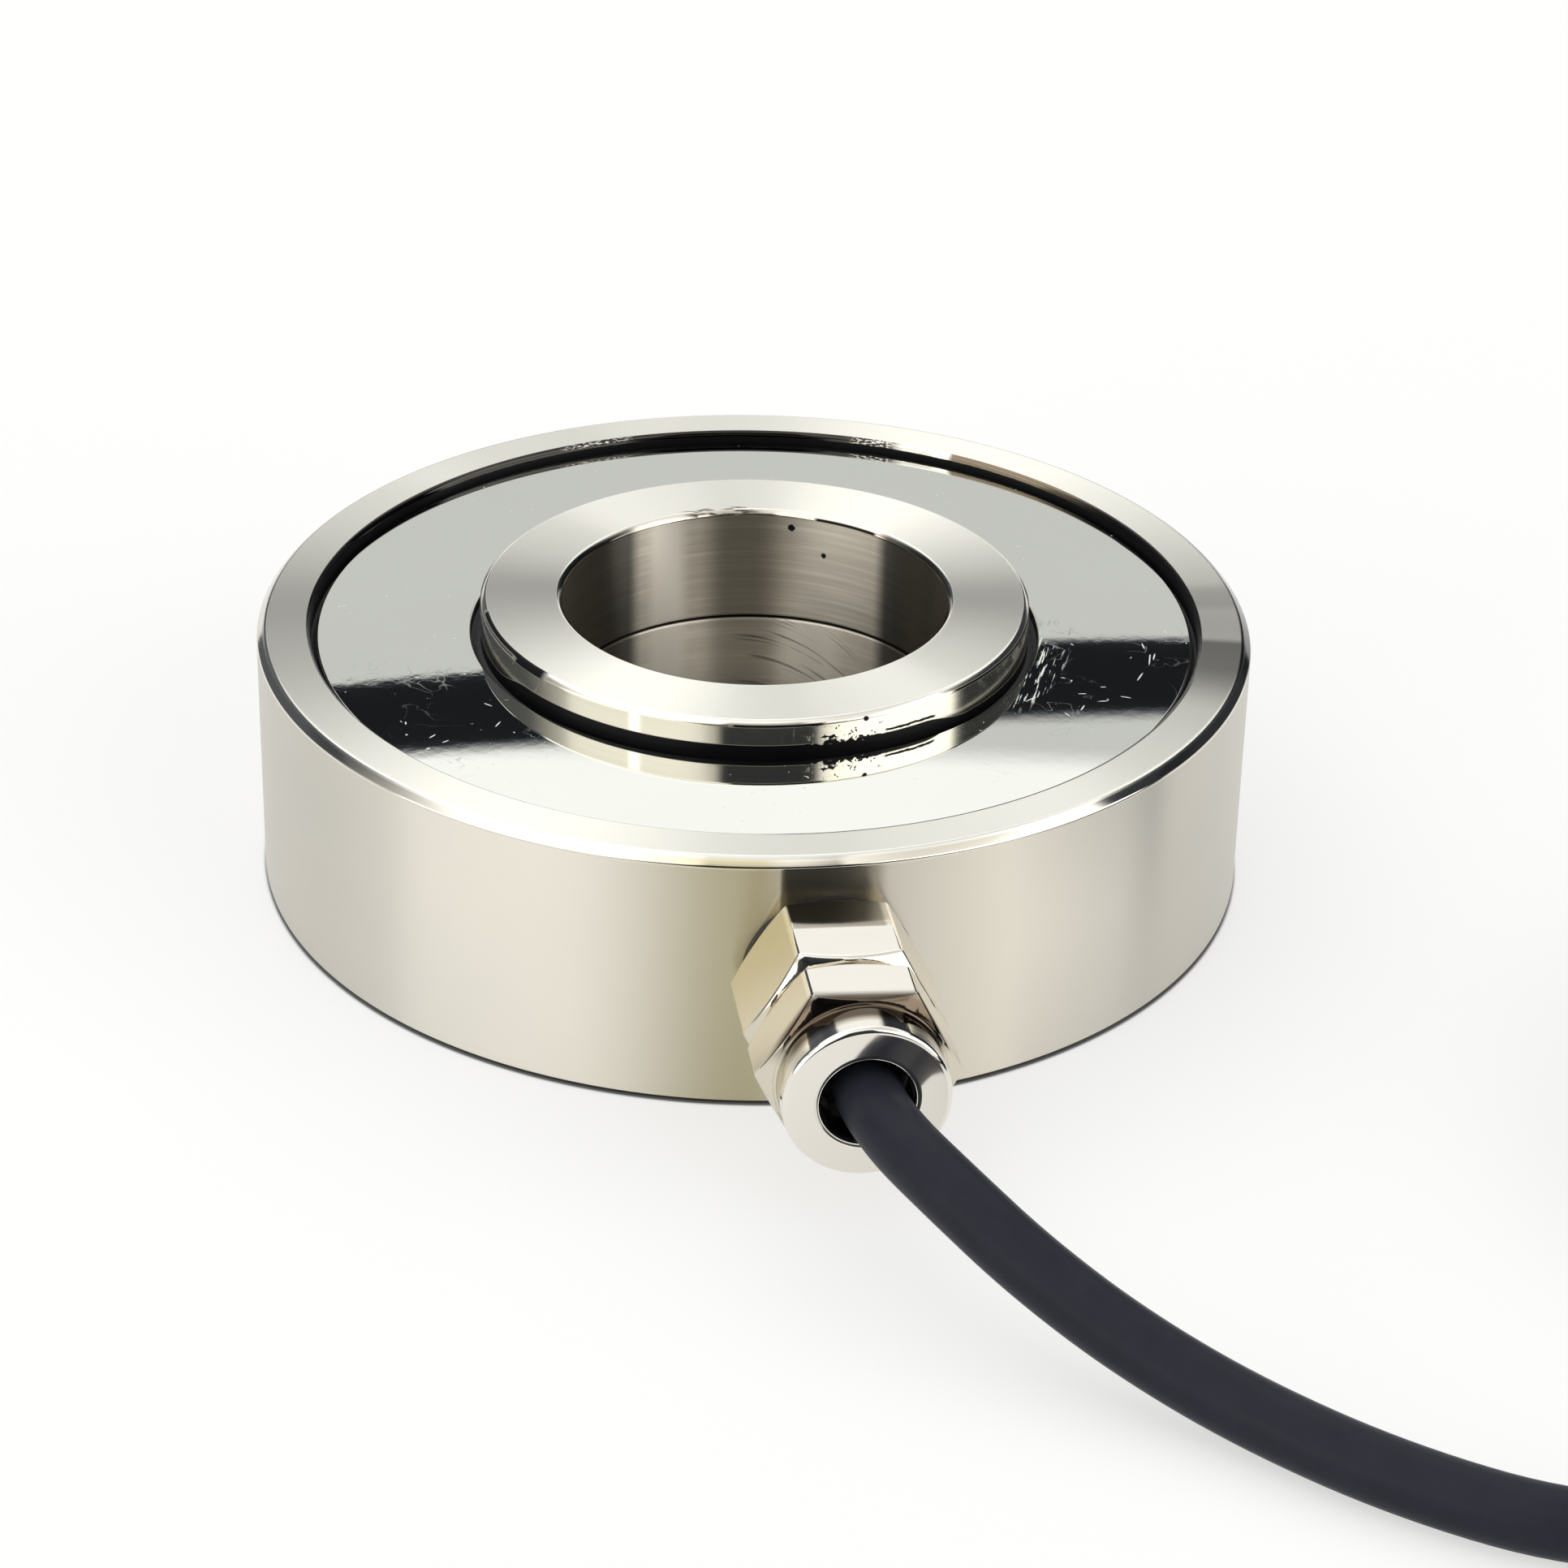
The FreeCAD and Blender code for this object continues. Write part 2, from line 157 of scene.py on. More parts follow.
class Shade:
    """A shader socket that takes part in Python expressions; node() adds any other kind of node."""

    def __init__(self, tree, socket=None):
        self.tree = tree
        self.socket = socket

    def node(self, kind, sockets=None, output=0, **settings):
        """One of a new node's outputs; its sockets take plain values or links."""
        made = self.tree.nodes.new(kind)
        for name, value in settings.items():
            setattr(made, name, value)
        for name, value in (sockets or {}).items():
            if isinstance(value, Shade):
                self.tree.links.new(value.socket, made.inputs[name])
            else:
                made.inputs[name].default_value = value
        return Shade(self.tree, made.outputs[output])

    def maths(self, operation, *values):
        return self.node("ShaderNodeMath", dict(enumerate(values)), operation=operation)

    def __add__(self, other):
        return self.maths("ADD", self, other)

    def __radd__(self, other):
        return self.maths("ADD", other, self)

    def __sub__(self, other):
        return self.maths("SUBTRACT", self, other)

    def __rsub__(self, other):
        return self.maths("SUBTRACT", other, self)

    def __mul__(self, other):
        return self.maths("MULTIPLY", self, other)

    def __rmul__(self, other):
        return self.maths("MULTIPLY", other, self)

    def __truediv__(self, other):
        return self.maths("DIVIDE", self, other)

    def __pow__(self, other):
        return self.maths("POWER", self, other)

    def __abs__(self):
        return self.maths("ABSOLUTE", self)

    def larger(self, other):
        """The larger of two values."""
        return self.maths("MAXIMUM", self, other)

    def smaller(self, other):
        """The smaller of two values."""
        return self.maths("MINIMUM", self, other)

    def arc(self, other):
        """Angle whose sine goes with this value and whose cosine goes with the other."""
        return self.maths("ARCTAN2", self, other) * DEGREES

    def rise(self, start, end):
        """Smooth step from 0 at start to 1 at end."""
        return self.node("ShaderNodeMapRange", {"Value": self, "From Min": start, "From Max": end},
                         interpolation_type="SMOOTHSTEP")

    def between(self, low, high, soft):
        """1 between two values, with soft edges."""
        return self.rise(low - soft, low + soft) * (1 - self.rise(high - soft, high + soft))

    def blend(self, first, second):
        """Colour that goes from the first to the second as this value goes from 0 to 1."""
        return self.node("ShaderNodeMix", {0: self, 6: first, 7: second}, output=2, data_type="RGBA")

    def parts(self):
        """The three numbers of a vector."""
        split = self.node("ShaderNodeSeparateXYZ", {"Vector": self})
        return [Shade(self.tree, socket) for socket in split.socket.node.outputs]

    def noise(self, scale, detail=3.0, roughness=0.5, distortion=0.0):
        """Noise between 0 and 1 at this vector."""
        return self.node("ShaderNodeTexNoise", {
            "Vector": self, "Scale": scale, "Detail": detail,
            "Roughness": roughness, "Distortion": distortion})

    def stretched(self, x, y, z):
        """This vector scaled unequally."""
        return self.node("ShaderNodeVectorMath", {0: self, 1: (x, y, z)}, operation="MULTIPLY")

    def bump(self, height, strength, distance):
        """Normal of a surface with this height on it; the distance is in metres."""
        return self.node("ShaderNodeBump", {"Height": height, "Strength": strength, "Distance": distance})


def finish_material(name):
    """New material with its shader, ready for expressions, and the place on the piece in millimetres."""
    material = bpy.data.materials.new(name)
    material.use_nodes = True
    tree = material.node_tree
    shader = tree.nodes["Principled BSDF"]
    metres = Shade(tree).node("ShaderNodeTexCoord", output="Object")
    place = metres.stretched(1 / MM, 1 / MM, 1 / MM)
    return material, shader, place


def set_shader(shader, **sockets):
    """Give the shader's sockets their values and links; underscores stand for spaces."""
    tree = shader.id_data
    for name, value in sockets.items():
        socket = shader.inputs[name.replace("_", " ")]
        if isinstance(value, Shade):
            tree.links.new(value.socket, socket)
        else:
            socket.default_value = value


# Camera, floor and light

FLOOR_DARK = (0.88, 0.88, 0.875, 1)
FLOOR_PALE = (0.89, 0.89, 0.885, 1)
FLOOR_PAINTED_SHADE = (0.25, 0.25, 0.245, 1)
FLOOR_WHITE = (1.0, 0.998, 0.992, 1)
FLOOR_WHITE_SHARE = 0.6
STUDIO_DARK = (0.86, 0.96, 1.15, 1)
STUDIO_LIGHT = (1.0, 0.997, 0.985, 1)
# direction from the camera past the part, clockwise from the back
STRAIGHT_BEHIND = 9


def add_camera():
    data = bpy.data.cameras.new("camera")
    data.lens = CAMERA_LENS
    data.sensor_width = CAMERA_SENSOR
    data.clip_start = 0.01
    camera = bpy.data.objects.new("camera", data)
    camera.location = Vector(CAMERA_PLACE) * MM
    camera.rotation_euler = [math.radians(angle) for angle in CAMERA_TURN]
    bpy.context.scene.collection.objects.link(camera)
    bpy.context.scene.camera = camera


def add_floor():
    """Floor with a faint shadow, nearly pure white to the camera and the metal; grey painted shade in the
    bore.
    """
    bpy.ops.object.select_all(action="DESELECT")
    bpy.ops.mesh.primitive_plane_add(size=FLOOR_SIZE_IN_METRES)
    floor = bpy.context.object
    floor.name = "floor"
    material, shader, place = finish_material("white_floor")
    tree = material.node_tree
    x, y = place.parts()[:2]
    open_floor = ((x * x + y * y) ** 0.5).rise(RING_RADIUS - 0.1, RING_RADIUS + 0.3)
    tint = place.noise(0.004, 2.0).blend(FLOOR_DARK, FLOOR_PALE)
    # painted shade: the floor under the part is grey
    tint = open_floor.blend(FLOOR_PAINTED_SHADE, tint)
    set_shader(shader, Base_Color=tint, Roughness=0.9, Specular_IOR_Level=0.0)
    seen = Shade(tree).node("ShaderNodeLightPath", output="Is Camera Ray")
    mirrored = Shade(tree, seen.socket.node.outputs["Is Glossy Ray"])
    white = seen.node("ShaderNodeEmission", {"Color": FLOOR_WHITE, "Strength": 1.0})
    lit = Shade(tree, shader.outputs[0])
    share = seen.larger(mirrored) * FLOOR_WHITE_SHARE * open_floor
    shown = seen.node("ShaderNodeMixShader", {0: share, 1: lit, 2: white})
    tree.links.new(shown.socket, tree.nodes["Material Output"].inputs["Surface"])
    floor.data.materials.append(material)


def add_studio():
    """Soft light all round: a white ceiling, grey low walls and the dark gaps that the metal mirrors."""
    world = bpy.data.worlds.new("studio")
    bpy.context.scene.world = world
    world.use_nodes = True
    tree = world.node_tree
    x, y, z = Shade(tree).node("ShaderNodeTexCoord", output="Generated").parts()
    height = z.maths("ARCSINE", z) * DEGREES
    back_side = x.arc(y)
    front_side = x.arc(0 - y)

    # walls and a brighter ceiling that fades overhead and to the right
    level = 1.0 - 0.33 * height.rise(20, 24) + 0.48 * height.rise(28.2, 28.6) + 0.60 * height.rise(34, 46)
    level = level - 0.40 * height.rise(52, 75) - 0.30 * height.rise(66, 82)
    level = level * (1 - 0.3 * height.rise(33, 45) * x.rise(-0.2, 0.6))
    level = level * (1 - 0.28 * height.rise(44, 56) * x.rise(0.05, 0.4))

    # a light box on each side of the camera, and a narrow lamp at the left
    left_box = front_side.between(-90, -24, 3)
    right_box = front_side.between(20, 84, 3)
    level = level + height.between(24, 46, 3) * (0.05 * left_box + 1.00 * right_box)
    level = level + height.between(4, 24, 3) * (2.0 * left_box + 2.0 * right_box)
    level = level + 1.6 * height.between(24, 36, 3) * front_side.between(-61, -57, 0.5)

    # a thin dark strip behind the part, and below it a dark gap to the left and one to the right
    aside = back_side - STRAIGHT_BEHIND
    tilted = height + aside * 0.067
    strip = tilted.rise(27.05, 27.15) * (1 - tilted.rise(28.0, 28.22)) * back_side.between(-50, 60, 4)
    spread = abs(aside)
    left_gap = 0.88 * back_side.rise(-98, -60) * (1 - back_side.rise(-3.5, 0.5))
    right_gap = 0.96 * back_side.between(19.5, 95, 2)
    gaps = (left_gap + right_gap) * (height + 0.9 * spread).rise(26, 30)
    gaps = gaps * (1 - (height - 0.19 * spread).rise(23.6, 25.6))

    # the dark round the camera, wider lower down
    reach = (29 - height).larger(0.0)
    camera_gap = front_side.rise(-25 - 0.8 * reach, -20 - 0.8 * reach)
    camera_gap = camera_gap * (1 - front_side.rise(17 + 1.2 * reach, 21 + 1.2 * reach))
    camera_gap = camera_gap * height.between(-3, 58, 3)

    level = level * (1 - 0.98 * strip) * (1 - gaps) * (1 - 0.96 * camera_gap)
    tint = level.rise(0.0, 0.3).blend(STUDIO_DARK, STUDIO_LIGHT)
    background = tree.nodes["Background"]
    tree.links.new(level.socket, background.inputs["Strength"])
    tree.links.new(tint.socket, background.inputs["Color"])


bpy.context.scene.view_settings.view_transform = "Standard"
add_camera()
add_floor()
add_studio()


# Cable

JACKET_DARK = (0.016, 0.017, 0.024, 1)
JACKET_PALE = (0.024, 0.026, 0.036, 1)


def on_coil(radius, angle, height):
    turn = math.radians(angle)
    return (COIL_CENTRE[0] + radius * math.cos(turn), COIL_CENTRE[1] + radius * math.sin(turn), height)


def coil_points():
    """Flat spirals in, out and in again, each layer on the last, then the end laid on top."""
    points = []
    angle = COIL_ENTRY_ANGLE
    step = 360.0 / COIL_POINTS_PER_TURN
    # a spline of this kind runs inside its control points, so the turns are drawn a little wide
    wide = 1 / (0.75 + 0.25 * math.cos(math.radians(step)))
    count = round(LAYER_SWEEP / step)
    climb_count = round(LAYER_CLIMB / step)
    for number, height in enumerate(COIL_LAYERS):
        first, last = COIL_OUTER_TURN, COIL_INNER_TURN
        if number % 2:
            first, last = last, first
        for index in range(count + 1):
            radius = first + (last - first) * index / count
            points.append(on_coil(radius * wide, angle, height))
            angle += step
        if number + 1 < len(COIL_LAYERS):
            for index in range(1, climb_count):
                lift = (COIL_LAYERS[number + 1] - height) * index / climb_count
                points.append(on_coil(last * wide, angle, height + lift))
                angle += step
    tail_angle = TAIL_START_ANGLE + 360 * math.ceil((angle - TAIL_START_ANGLE) / 360)
    rise_count = max(2, round((tail_angle - angle) / step))
    for index in range(rise_count):
        share = (index + 1) / (rise_count + 1)
        radius = COIL_INNER_TURN + (TAIL_RADIUS - COIL_INNER_TURN) * share
        height = COIL_LAYERS[-1] + (TAIL_HEIGHT - COIL_LAYERS[-1]) * share
        points.append(on_coil(radius * wide, angle + (tail_angle - angle) * share, height))
    for index in range(TAIL_POINTS):
        share = index / (TAIL_POINTS - 1)
        along = TAIL_START_ANGLE + (TAIL_END_ANGLE - TAIL_START_ANGLE) * share
        points.append(on_coil(TAIL_RADIUS * wide, along, TAIL_HEIGHT))
    return points


def lay_cable():
    """The whole cable as one round line, from inside the gland to its cut end on the coil."""
    points = CABLE_ROUTE + coil_points()
    data = bpy.data.curves.new("signal_cable", "CURVE")
    data.dimensions = "3D"
    line = data.splines.new("NURBS")
    line.points.add(len(points) - 1)
    for point, place in zip(line.points, points):
        point.co = (place[0] * MM, place[1] * MM, place[2] * MM, 1)
    line.order_u = 3
    line.use_endpoint_u = True
    line.resolution_u = 8
    data.bevel_depth = CABLE_DIAMETER / 2 * MM
    data.bevel_resolution = 7
    data.use_fill_caps = True
    cable = bpy.data.objects.new("signal_cable", data)
    bpy.context.scene.collection.objects.link(cable)
    material, shader, place = finish_material("cable_jacket")
    mottle = place.noise(0.35, 4.0)
    grain = place.noise(9.0, 2.0)
    set_shader(shader, Base_Color=mottle.blend(JACKET_DARK, JACKET_PALE), Roughness=0.36 + 0.12 * mottle,
               Specular_IOR_Level=0.09, Normal=place.bump(grain, 0.08, 0.0002))
    data.materials.append(material)
    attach(cable, "root")
    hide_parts("cable_run", "cable_coil")
    return cable


cable = lay_cable()


# Modelling by hand

def draw_outline(name, points):
    """Closed flat face through the points, drawn vertex by vertex; stays in edit mode."""
    bpy.ops.object.select_all(action="DESELECT")
    bpy.ops.mesh.primitive_plane_add(size=MM)
    piece = bpy.context.object
    piece.name = name
    piece.data.name = name
    bpy.ops.object.mode_set(mode="EDIT")
    bpy.ops.mesh.select_all(action="SELECT")
    bpy.ops.mesh.merge(type="CENTER")
    bpy.ops.transform.translate(value=points[0])
    for here, there in zip(points, points[1:]):
        bpy.ops.mesh.extrude_vertices_move(TRANSFORM_OT_translate={"value": there - here})
    bpy.ops.mesh.select_all(action="SELECT")
    bpy.ops.mesh.edge_face_add()
    return piece


def select_corners(piece, corners):
    """Select the outline's vertices that lie at these corners."""
    bpy.ops.mesh.select_all(action="DESELECT")
    mesh = bmesh.from_edit_mesh(piece.data)
    for vertex in mesh.verts:
        vertex.select_set(any((vertex.co - corner).length < 0.01 * MM for corner in corners))
    mesh.select_flush(True)
    bmesh.update_edit_mesh(piece.data)


def spin_outline(centre, axis, steps):
    """Spin the outline's edges once round and close the seam."""
    bpy.ops.mesh.select_all(action="SELECT")
    bpy.ops.mesh.delete(type="ONLY_FACE")
    bpy.ops.mesh.select_all(action="SELECT")
    bpy.ops.mesh.spin(steps=steps, angle=2 * math.pi, center=centre, axis=axis)
    bpy.ops.mesh.select_all(action="SELECT")
    bpy.ops.mesh.remove_doubles(threshold=0.001 * MM)
    bpy.ops.mesh.normals_make_consistent(inside=False)
    bpy.ops.object.mode_set(mode="OBJECT")


def apply_modifier(piece, kind, **settings):
    bpy.context.view_layer.objects.active = piece
    modifier = piece.modifiers.new(kind.lower(), kind)
    for name, value in settings.items():
        setattr(modifier, name, value)
    bpy.ops.object.modifier_apply(modifier=modifier.name)


def smooth(piece):
    """Smooth shading that keeps flat faces flat."""
    bpy.ops.object.select_all(action="DESELECT")
    piece.select_set(True)
    bpy.context.view_layer.objects.active = piece
    bpy.ops.object.shade_smooth()
    apply_modifier(piece, "WEIGHTED_NORMAL", mode="FACE_AREA", weight=50)


def turn_piece(name, outline, rounding=EDGE_BREAK, fillets=()):
    """Turned part: an outline of (radius, height) with its corners rounded, spun round the bore's axis."""
    def on_section(radius, height):
        return Vector((radius, 0, height)) * MM
    piece = draw_outline(name, [on_section(*corner) for corner in outline])
    filleted = [corner for corner, size in fillets]
    select_corners(piece, [on_section(*corner) for corner in outline if corner not in filleted])
    bpy.ops.mesh.bevel(offset=rounding * MM, segments=3, affect="VERTICES")
    for corner, size in fillets:
        select_corners(piece, [on_section(*corner)])
        bpy.ops.mesh.bevel(offset=size * MM, segments=8, affect="VERTICES")
    spin_outline((0, 0, 0), (0, 0, 1), SPIN_STEPS)
    smooth(piece)
    return piece


def seal_bead(name, inside, outside, sag):
    """Black bead on the ledge, with a hollow top between the walls on its two sides."""
    return turn_piece(name, [
        (inside, LEDGE_HEIGHT), (outside, LEDGE_HEIGHT), (outside, SEAL_TOP),
        ((inside + outside) / 2, SEAL_TOP - sag), (inside, SEAL_TOP)], THIN_EDGE_BREAK)


def hex_outline(start, end):
    """Outline of a hex between two faces, with a chamfer at each."""
    return [(HEX_FACE_RADIUS, start), (HEX_CORNER_RADIUS, start + HEX_CHAMFER),
            (HEX_CORNER_RADIUS, end - HEX_CHAMFER), (HEX_FACE_RADIUS, end)]


def hex_piece(name, outline, roll, fillets=()):
    """Part turned from hex bar: an outline of (radius, distance) spun on the gland's axis and cut."""
    start = math.radians(roll + 180 / HEX_STEPS)
    def on_gland(radius, along):
        return Vector((radius * math.cos(start), -along, GLAND_HEIGHT + radius * math.sin(start))) * MM
    piece = draw_outline(name, [on_gland(*corner) for corner in outline])
    for corner, size in fillets:
        select_corners(piece, [on_gland(*corner)])
        bpy.ops.mesh.bevel(offset=size * MM, segments=6, affect="VERTICES")
    spin_outline((0, 0, GLAND_HEIGHT * MM), (0, 1, 0), HEX_STEPS)
    bpy.ops.object.select_all(action="DESELECT")
    bpy.ops.mesh.primitive_cylinder_add(
        vertices=6, radius=HEX_FLATS / math.sqrt(3) * MM, depth=HEX_BAR_LENGTH * MM,
        location=(0, -HEX_BAR_MIDDLE * MM, GLAND_HEIGHT * MM),
        rotation=(math.pi / 2, math.radians(30 - roll), 0))
    bar = bpy.context.object
    apply_modifier(piece, "BOOLEAN", object=bar, operation="INTERSECT", solver="EXACT")
    bpy.data.objects.remove(bar)
    apply_modifier(piece, "BEVEL", width=HEX_ROUNDING * MM, segments=3, limit_method="ANGLE",
                   angle_limit=math.radians(18), use_clamp_overlap=False)
    smooth(piece)
    return piece


def tie_block(name, size, shift, place, tilt):
    """Small block on the tie, laid along the band's direction at a place of (radius, height)."""
    bpy.ops.object.select_all(action="DESELECT")
    bpy.ops.mesh.primitive_cube_add(size=1.0)
    block = bpy.context.object
    block.name = name
    bpy.ops.object.mode_set(mode="EDIT")
    bpy.ops.mesh.select_all(action="SELECT")
    bpy.ops.transform.resize(value=[length * MM for length in size])
    bpy.ops.transform.translate(value=[length * MM for length in shift])
    bpy.ops.transform.rotate(value=-math.radians(tilt), orient_axis="Y", center_override=(0, 0, 0))
    radius, height = place
    bpy.ops.transform.translate(value=((COIL_CENTRE[0] + radius) * MM, COIL_CENTRE[1] * MM, height * MM))
    bpy.ops.object.mode_set(mode="OBJECT")
    return block


def pull_tie(name, angle, outline, lock_place, lock_tilt):
    """Nylon tie pulled round the turns: a band along an outline of (radius, height), a lock and an end."""
    points = [Vector((COIL_CENTRE[0] + radius, COIL_CENTRE[1] - TIE_WIDTH / 2, height)) * MM
              for radius, height in outline]
    band = draw_outline(name, points)
    bpy.ops.mesh.select_all(action="SELECT")
    bpy.ops.mesh.bevel(offset=TIE_BEND * MM, segments=6, affect="VERTICES")
    bpy.ops.mesh.select_all(action="SELECT")
    bpy.ops.mesh.delete(type="ONLY_FACE")
    bpy.ops.mesh.select_all(action="SELECT")
    bpy.ops.mesh.extrude_edges_move(TRANSFORM_OT_translate={"value": (0, TIE_WIDTH * MM, 0)})
    bpy.ops.mesh.select_all(action="SELECT")
    bpy.ops.mesh.normals_make_consistent(inside=False)
    bpy.ops.object.mode_set(mode="OBJECT")
    apply_modifier(band, "SOLIDIFY", thickness=TIE_THICKNESS * MM, offset=1.0)
    lock = tie_block("lock", TIE_LOCK_SIZE, TIE_LOCK_SHIFT, lock_place, lock_tilt)
    end = tie_block("cut_end", TIE_END_SIZE, TIE_END_SHIFT, lock_place, lock_tilt)
    bpy.ops.object.select_all(action="DESELECT")
    for piece in (lock, end, band):
        piece.select_set(True)
    bpy.context.view_layer.objects.active = band
    bpy.ops.object.join()
    bpy.ops.object.mode_set(mode="EDIT")
    bpy.ops.mesh.select_all(action="SELECT")
    centre = (COIL_CENTRE[0] * MM, COIL_CENTRE[1] * MM, 0)
    bpy.ops.transform.rotate(value=-math.radians(angle), orient_axis="Z", center_override=centre)
    bpy.ops.object.mode_set(mode="OBJECT")
    apply_modifier(band, "BEVEL", width=TIE_ROUNDING * MM, segments=2, limit_method="ANGLE",
                   angle_limit=math.radians(50))
    smooth(band)
    return band


def settle(piece, material, slot, *nodes):
    """Give a piece its finish, hang it under the root and hide the CAD nodes it stands for."""
    piece.data.materials.clear()
    piece.data.materials.append(material)
    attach(piece, "root")
    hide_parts(*nodes)
    return piece


def dress(material, *names):
    """Give CAD nodes that stay as they are their finish."""
    for name in names:
        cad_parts[name].data.materials.clear()
        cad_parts[name].data.materials.append(material)


# Finishes; an angle round the bore is 0 at +x, 90 at the back and -90 at the gland

FACE_DARK = (0.815, 0.803, 0.735, 1)
FACE_PALE = (0.845, 0.838, 0.775, 1)
FACE_PAINTED_SHADE = (0.29, 0.285, 0.26, 1)
WALL_DARK = (0.735, 0.685, 0.58, 1)
WALL_PALE = (0.765, 0.72, 0.625, 1)
WALL_COOL = (0.66, 0.645, 0.595, 1)
WALL_PAINTED_REFLECTION = (0.57, 0.515, 0.345, 1)
WALL_PAINTED_DARK_REFLECTION = (0.11, 0.095, 0.065, 1)
RECESS_PAINTED_REFLECTION = (0.05, 0.047, 0.043, 1)
RECESS_BROWN = (0.20, 0.16, 0.115, 1)
NEAR_BLACK = (0.004, 0.004, 0.005, 1)
BARE_PAINTED_DARK = (0.10, 0.095, 0.085, 1)
BARE_SHADE = (0.2, 0.19, 0.17, 1)
BARE_PALE_AND_HIGHLIGHT = (0.98, 0.91, 0.78, 1)
LOAD_BORE_DARK = (0.62, 0.555, 0.45, 1)
LOAD_BORE_PALE = (0.82, 0.755, 0.63, 1)
ELEMENT_DARK = (0.72, 0.65, 0.53, 1)
ELEMENT_PALE = (0.91, 0.84, 0.71, 1)
ELEMENT_PAINTED_SHADE = (0.10, 0.09, 0.08, 1)
ELEMENT_GROOVE = (0.02, 0.018, 0.015, 1)
COVER_DARK = (0.785, 0.801, 0.752, 1)
COVER_PALE = (0.825, 0.841, 0.794, 1)
PLATING_DARK = (0.63, 0.58, 0.47, 1)
PLATING_PALE = (0.68, 0.635, 0.53, 1)
PLATING_PAINTED_HIGHLIGHT = (0.80, 0.77, 0.70, 1)
PLATING_PAINTED_REFLECTION = (0.08, 0.055, 0.035, 1)
SEAL_DARK = (0.010, 0.010, 0.011, 1)
SEAL_PALE = (0.022, 0.022, 0.023, 1)
TIN_DARK = (0.62, 0.61, 0.58, 1)
TIN_PALE = (0.80, 0.79, 0.77, 1)

# radius plus height on the two outer chamfers, and radius less height on the bore's
RIM_EDGE = RING_RADIUS + RIM_HEIGHT - RIM_CHAMFER
LOAD_EDGE = BOSS_RADIUS + LOAD_HEIGHT - CHAMFER
BORE_EDGE = BORE_RADIUS - LOAD_HEIGHT + CHAMFER

# how a turned face draws its reflections out across the tool marks
TURNED_LOOK = {"Anisotropic": 1.0, "Anisotropic_Rotation": 0.25}


def around(place):
    """Radius, angle and height about the bore's axis."""
    x, y, z = place.parts()
    radius = (x * x + y * y) ** 0.5
    return radius, y.arc(x), z


def turning_marks(place, fine, sweep):
    """Fine noise that runs round the bore's axis, as a lathe tool leaves it."""
    x, y, z = place.parts()
    radius = (x * x + y * y) ** 0.5
    along = place.node("ShaderNodeCombineXYZ", {"X": radius * fine, "Y": z * fine, "Z": x / radius * sweep})
    return place.node("ShaderNodeTexNoise", {
        "Vector": along, "W": y / radius * sweep, "Scale": 1.0, "Detail": 3.0}, noise_dimensions="4D")


def spot(place, centre, size):
    """1 within a small ragged spot round a point of the surface."""
    away = place.node("ShaderNodeVectorMath", {0: place, 1: centre}, output="Value", operation="DISTANCE")
    return 1 - (away + 1.1 * size * (place.noise(3.0, 2.0) - 0.5)).rise(0.6 * size, size)


